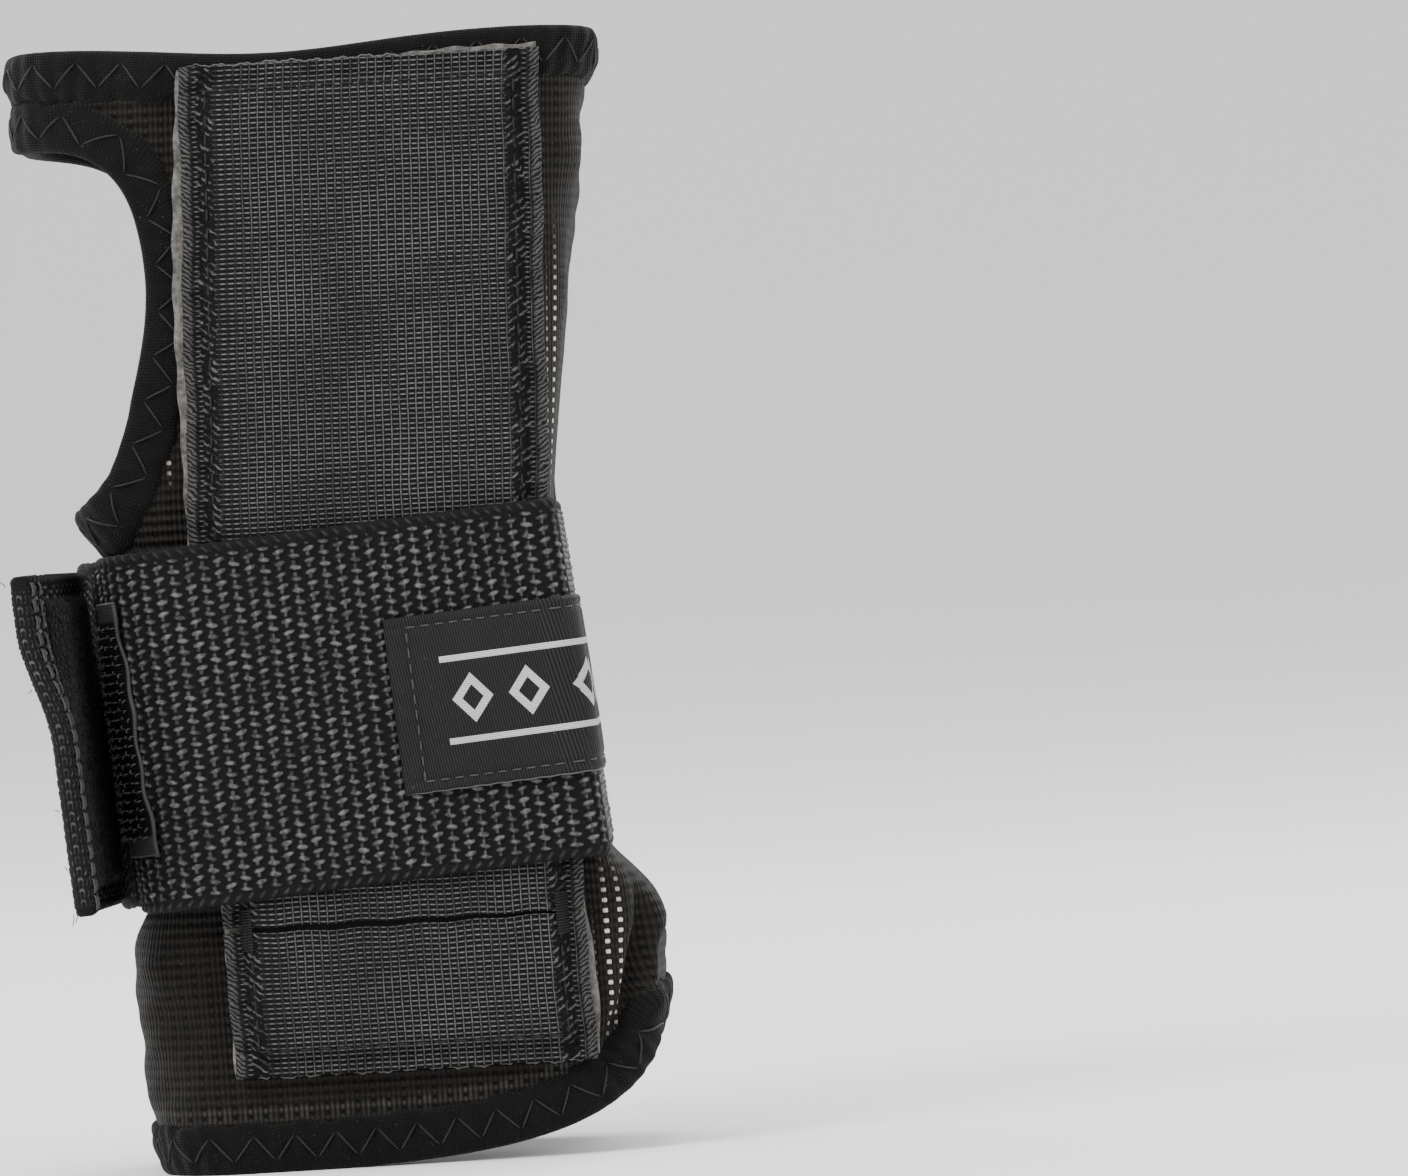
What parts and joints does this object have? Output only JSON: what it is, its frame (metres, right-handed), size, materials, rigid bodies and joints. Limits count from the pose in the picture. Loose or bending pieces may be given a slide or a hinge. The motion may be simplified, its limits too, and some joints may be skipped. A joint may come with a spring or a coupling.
{
  "type": "wrist guard",
  "caption": "Soft wrist guard sleeve with bound edges, two splint pockets, a thumb hole and a wrist strap with a hook-and-loop tab.",
  "frame": {"origin": "on the plane that the forearm hem stands on, on the midline of the splint pockets, midway between back of the hand and palm", "axes": "+Z from the forearm opening to the fingers, -Y is the back of the hand, -X is the thumb side and +X the little finger side"},
  "size_m": [0.0833, 0.0651, 0.155],
  "materials": {
    "knit_mesh": "satin",
    "stretch_binding": "matte",
    "pocket_webbing": "satin",
    "grey_felt": "matte",
    "strap_webbing": "satin",
    "hook_tape": "satin",
    "loop_tape": "matte",
    "woven_label": "satin",
    "thread": "satin",
    "splint_plastic": "satin"
  },
  "bodies": {
    "guard": {"sleeve_back_panel": "knit_mesh", "sleeve_palm_panel": "knit_mesh", "hand_hem_binding": "stretch_binding", "thumb_hole_binding": "stretch_binding", "forearm_hem_binding": "stretch_binding", "wrist_strap": "strap_webbing", "hook_patch": "hook_tape", "side_label": "woven_label", "strap_anchor_stitches": "thread", "back_pocket_backing": "grey_felt", "back_pocket_upper_webbing": "pocket_webbing", "back_pocket_lower_webbing": "pocket_webbing", "back_pocket_bar_tacks": "thread", "palm_pocket_backing": "grey_felt", "palm_pocket_upper_webbing": "pocket_webbing", "palm_pocket_lower_webbing": "pocket_webbing", "palm_pocket_bar_tacks": "thread"},
    "tab_root": {"strap_tab_root": "strap_webbing", "tab_loop_root": "loop_tape"},
    "tab_end": {"strap_tab_end": "strap_webbing", "tab_loop_end": "loop_tape"},
    "back_splint": {"back_splint": "splint_plastic"},
    "palm_splint": {"palm_splint": "splint_plastic"}
  },
  "joints": [
    {"name": "tab_peel", "type": "hinge", "parent": "guard", "child": "tab_root", "pos_m": [-0.04258, 0.0135, 0.0601], "axis": [0.075, 0, -0.9972], "range_deg": [-4, 96]},
    {"name": "tab_fold", "type": "hinge", "parent": "tab_root", "child": "tab_end", "pos_m": [-0.04508, -0.02236, 0.05991], "axis": [0.075, 0, -0.9972], "range_deg": [-50, 61]},
    {"name": "back_splint_slide", "type": "slide", "parent": "guard", "child": "back_splint", "axis": [0, 0, 1], "range_m": [0, 0.0025]},
    {"name": "palm_splint_slide", "type": "slide", "parent": "guard", "child": "palm_splint", "axis": [0, 0, 1], "range_m": [0, 0.0025]}
  ]
}
